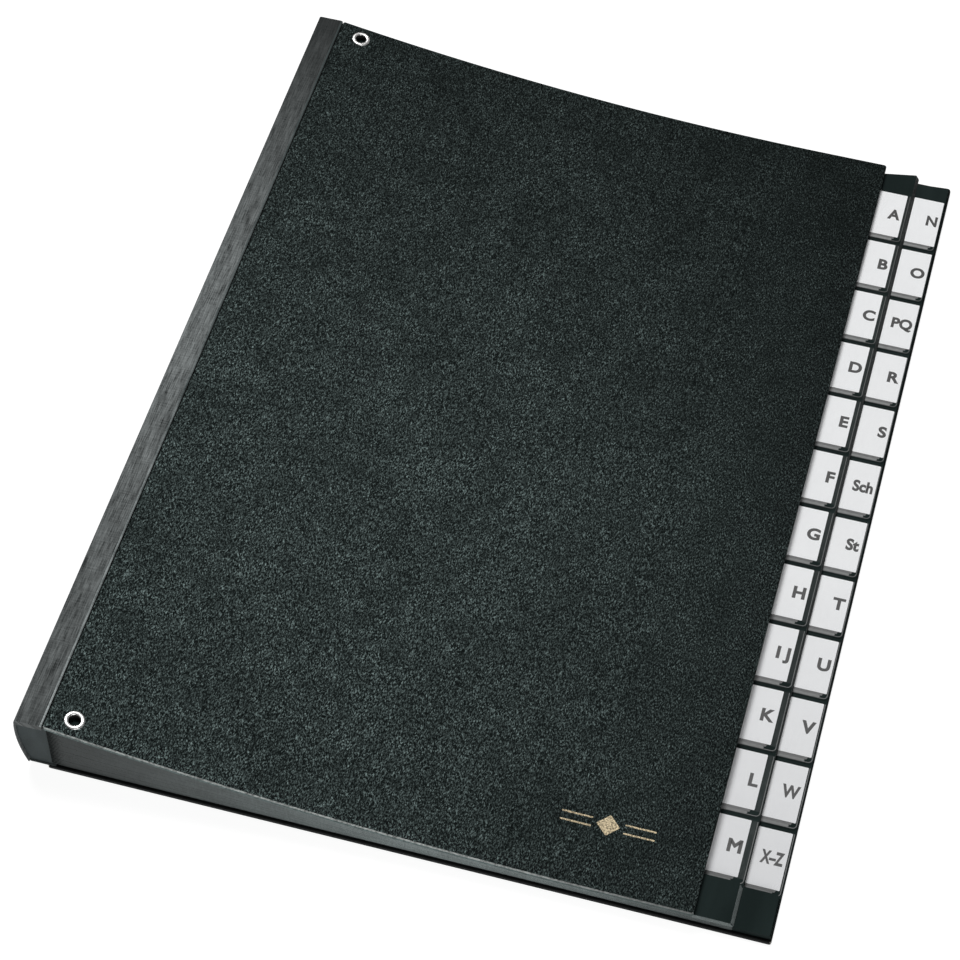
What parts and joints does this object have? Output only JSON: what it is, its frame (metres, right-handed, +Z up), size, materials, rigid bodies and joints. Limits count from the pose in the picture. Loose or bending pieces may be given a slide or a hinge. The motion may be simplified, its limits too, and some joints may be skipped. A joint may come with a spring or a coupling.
{
  "type": "desk sorter file",
  "caption": "Board-covered desk sorter file on an expanding cloth spine, with black divider leaves, stepped white index tabs in two columns and a hinged front cover with eyelets.",
  "frame": {"origin": "centre of the box's underside, on the surface the file lies on", "axes": "+Y along the spine towards the first index tab, +X from the spine towards the tabs, +Z up from the back cover to the front cover"},
  "size_m": [0.2572, 0.34, 0.0264],
  "materials": {
    "cover_paper": "leather-grain embossed, satin",
    "greyboard": "matt",
    "lining_paper": "matt",
    "spine_cloth": "matt book cloth",
    "leaf_card": "smooth, satin",
    "index_label": "white label under clear film",
    "eyelet_metal": "nickel plated",
    "gold_foil": "hot-stamped foil"
  },
  "bodies": {
    "root": {"back_cover_wrap": "cover_paper", "back_cover_board": "greyboard", "back_cover_lining": "lining_paper", "back_joint_cloth": "spine_cloth", "spine_cloth": "spine_cloth"},
    "leaf_xz": {"leaf_xz": "leaf_card", "tab_xz": "index_label"},
    "leaf_w": {"leaf_w": "leaf_card", "tab_w": "index_label"},
    "leaf_v": {"leaf_v": "leaf_card", "tab_v": "index_label"},
    "leaf_u": {"leaf_u": "leaf_card", "tab_u": "index_label"},
    "leaf_t": {"leaf_t": "leaf_card", "tab_t": "index_label"},
    "leaf_st": {"leaf_st": "leaf_card", "tab_st": "index_label"},
    "leaf_sch": {"leaf_sch": "leaf_card", "tab_sch": "index_label"},
    "leaf_s": {"leaf_s": "leaf_card", "tab_s": "index_label"},
    "leaf_r": {"leaf_r": "leaf_card", "tab_r": "index_label"},
    "leaf_pq": {"leaf_pq": "leaf_card", "tab_pq": "index_label"},
    "leaf_o": {"leaf_o": "leaf_card", "tab_o": "index_label"},
    "leaf_n": {"leaf_n": "leaf_card", "tab_n": "index_label"},
    "leaf_m": {"leaf_m": "leaf_card", "tab_m": "index_label"},
    "leaf_l": {"leaf_l": "leaf_card", "tab_l": "index_label"},
    "leaf_k": {"leaf_k": "leaf_card", "tab_k": "index_label"},
    "leaf_ij": {"leaf_ij": "leaf_card", "tab_ij": "index_label"},
    "leaf_h": {"leaf_h": "leaf_card", "tab_h": "index_label"},
    "leaf_g": {"leaf_g": "leaf_card", "tab_g": "index_label"},
    "leaf_f": {"leaf_f": "leaf_card", "tab_f": "index_label"},
    "leaf_e": {"leaf_e": "leaf_card", "tab_e": "index_label"},
    "leaf_d": {"leaf_d": "leaf_card", "tab_d": "index_label"},
    "leaf_c": {"leaf_c": "leaf_card", "tab_c": "index_label"},
    "leaf_b": {"leaf_b": "leaf_card", "tab_b": "index_label"},
    "leaf_a": {"leaf_a": "leaf_card", "tab_a": "index_label", "front_strip_board": "greyboard", "front_strip_cloth": "spine_cloth"},
    "front_cover": {"front_cover_wrap": "cover_paper", "front_cover_board": "greyboard", "front_cover_lining": "lining_paper", "front_eyelets": "eyelet_metal", "front_foil": "gold_foil"}
  },
  "joints": [
    {"name": "turn_xz", "type": "hinge", "parent": "root", "child": "leaf_xz", "pos_m": [-0.12561, 0, 0.00203], "axis": [0, -1, 0], "range_deg": [0, 7], "deforming": ["spine_cloth"]},
    {"name": "turn_w", "type": "hinge", "parent": "leaf_xz", "child": "leaf_w", "pos_m": [-0.12588, 0, 0.00295], "axis": [0, -1, 0], "range_deg": [0, 7]},
    {"name": "turn_v", "type": "hinge", "parent": "leaf_w", "child": "leaf_v", "pos_m": [-0.12614, 0, 0.00387], "axis": [0, -1, 0], "range_deg": [0, 7]},
    {"name": "turn_u", "type": "hinge", "parent": "leaf_v", "child": "leaf_u", "pos_m": [-0.12638, 0, 0.00479], "axis": [0, -1, 0], "range_deg": [0, 7]},
    {"name": "turn_t", "type": "hinge", "parent": "leaf_u", "child": "leaf_t", "pos_m": [-0.12661, 0, 0.00571], "axis": [0, -1, 0], "range_deg": [0, 7]},
    {"name": "turn_st", "type": "hinge", "parent": "leaf_t", "child": "leaf_st", "pos_m": [-0.12682, 0, 0.00663], "axis": [0, -1, 0], "range_deg": [0, 7]},
    {"name": "turn_sch", "type": "hinge", "parent": "leaf_st", "child": "leaf_sch", "pos_m": [-0.12702, 0, 0.00755], "axis": [0, -1, 0], "range_deg": [0, 7]},
    {"name": "turn_s", "type": "hinge", "parent": "leaf_sch", "child": "leaf_s", "pos_m": [-0.12721, 0, 0.00847], "axis": [0, -1, 0], "range_deg": [0, 7]},
    {"name": "turn_r", "type": "hinge", "parent": "leaf_s", "child": "leaf_r", "pos_m": [-0.12738, 0, 0.00939], "axis": [0, -1, 0], "range_deg": [0, 7]},
    {"name": "turn_pq", "type": "hinge", "parent": "leaf_r", "child": "leaf_pq", "pos_m": [-0.12753, 0, 0.01031], "axis": [0, -1, 0], "range_deg": [0, 7]},
    {"name": "turn_o", "type": "hinge", "parent": "leaf_pq", "child": "leaf_o", "pos_m": [-0.12767, 0, 0.01123], "axis": [0, -1, 0], "range_deg": [0, 7]},
    {"name": "turn_n", "type": "hinge", "parent": "leaf_o", "child": "leaf_n", "pos_m": [-0.12779, 0, 0.01215], "axis": [0, -1, 0], "range_deg": [0, 7]},
    {"name": "turn_m", "type": "hinge", "parent": "leaf_n", "child": "leaf_m", "pos_m": [-0.1279, 0, 0.01307], "axis": [0, -1, 0], "range_deg": [0, 7]},
    {"name": "turn_l", "type": "hinge", "parent": "leaf_m", "child": "leaf_l", "pos_m": [-0.128, 0, 0.01399], "axis": [0, -1, 0], "range_deg": [0, 7]},
    {"name": "turn_k", "type": "hinge", "parent": "leaf_l", "child": "leaf_k", "pos_m": [-0.12808, 0, 0.01491], "axis": [0, -1, 0], "range_deg": [0, 7]},
    {"name": "turn_ij", "type": "hinge", "parent": "leaf_k", "child": "leaf_ij", "pos_m": [-0.12815, 0, 0.01583], "axis": [0, -1, 0], "range_deg": [0, 7]},
    {"name": "turn_h", "type": "hinge", "parent": "leaf_ij", "child": "leaf_h", "pos_m": [-0.1282, 0, 0.01675], "axis": [0, -1, 0], "range_deg": [0, 7]},
    {"name": "turn_g", "type": "hinge", "parent": "leaf_h", "child": "leaf_g", "pos_m": [-0.12823, 0, 0.01767], "axis": [0, -1, 0], "range_deg": [0, 7]},
    {"name": "turn_f", "type": "hinge", "parent": "leaf_g", "child": "leaf_f", "pos_m": [-0.12825, 0, 0.01859], "axis": [0, -1, 0], "range_deg": [0, 7]},
    {"name": "turn_e", "type": "hinge", "parent": "leaf_f", "child": "leaf_e", "pos_m": [-0.12825, 0, 0.01951], "axis": [0, -1, 0], "range_deg": [0, 7]},
    {"name": "turn_d", "type": "hinge", "parent": "leaf_e", "child": "leaf_d", "pos_m": [-0.12823, 0, 0.02043], "axis": [0, -1, 0], "range_deg": [0, 7]},
    {"name": "turn_c", "type": "hinge", "parent": "leaf_d", "child": "leaf_c", "pos_m": [-0.1282, 0, 0.02135], "axis": [0, -1, 0], "range_deg": [0, 7]},
    {"name": "turn_b", "type": "hinge", "parent": "leaf_c", "child": "leaf_b", "pos_m": [-0.12815, 0, 0.02227], "axis": [0, -1, 0], "range_deg": [0, 7]},
    {"name": "turn_a", "type": "hinge", "parent": "leaf_b", "child": "leaf_a", "pos_m": [-0.12808, 0, 0.02319], "axis": [0, -1, 0], "range_deg": [0, 7]},
    {"name": "front_cover_hinge", "type": "hinge", "parent": "leaf_a", "child": "front_cover", "pos_m": [-0.11839, 0, 0.02638], "axis": [0, 1, 0], "range_deg": [-185, 0]}
  ]
}
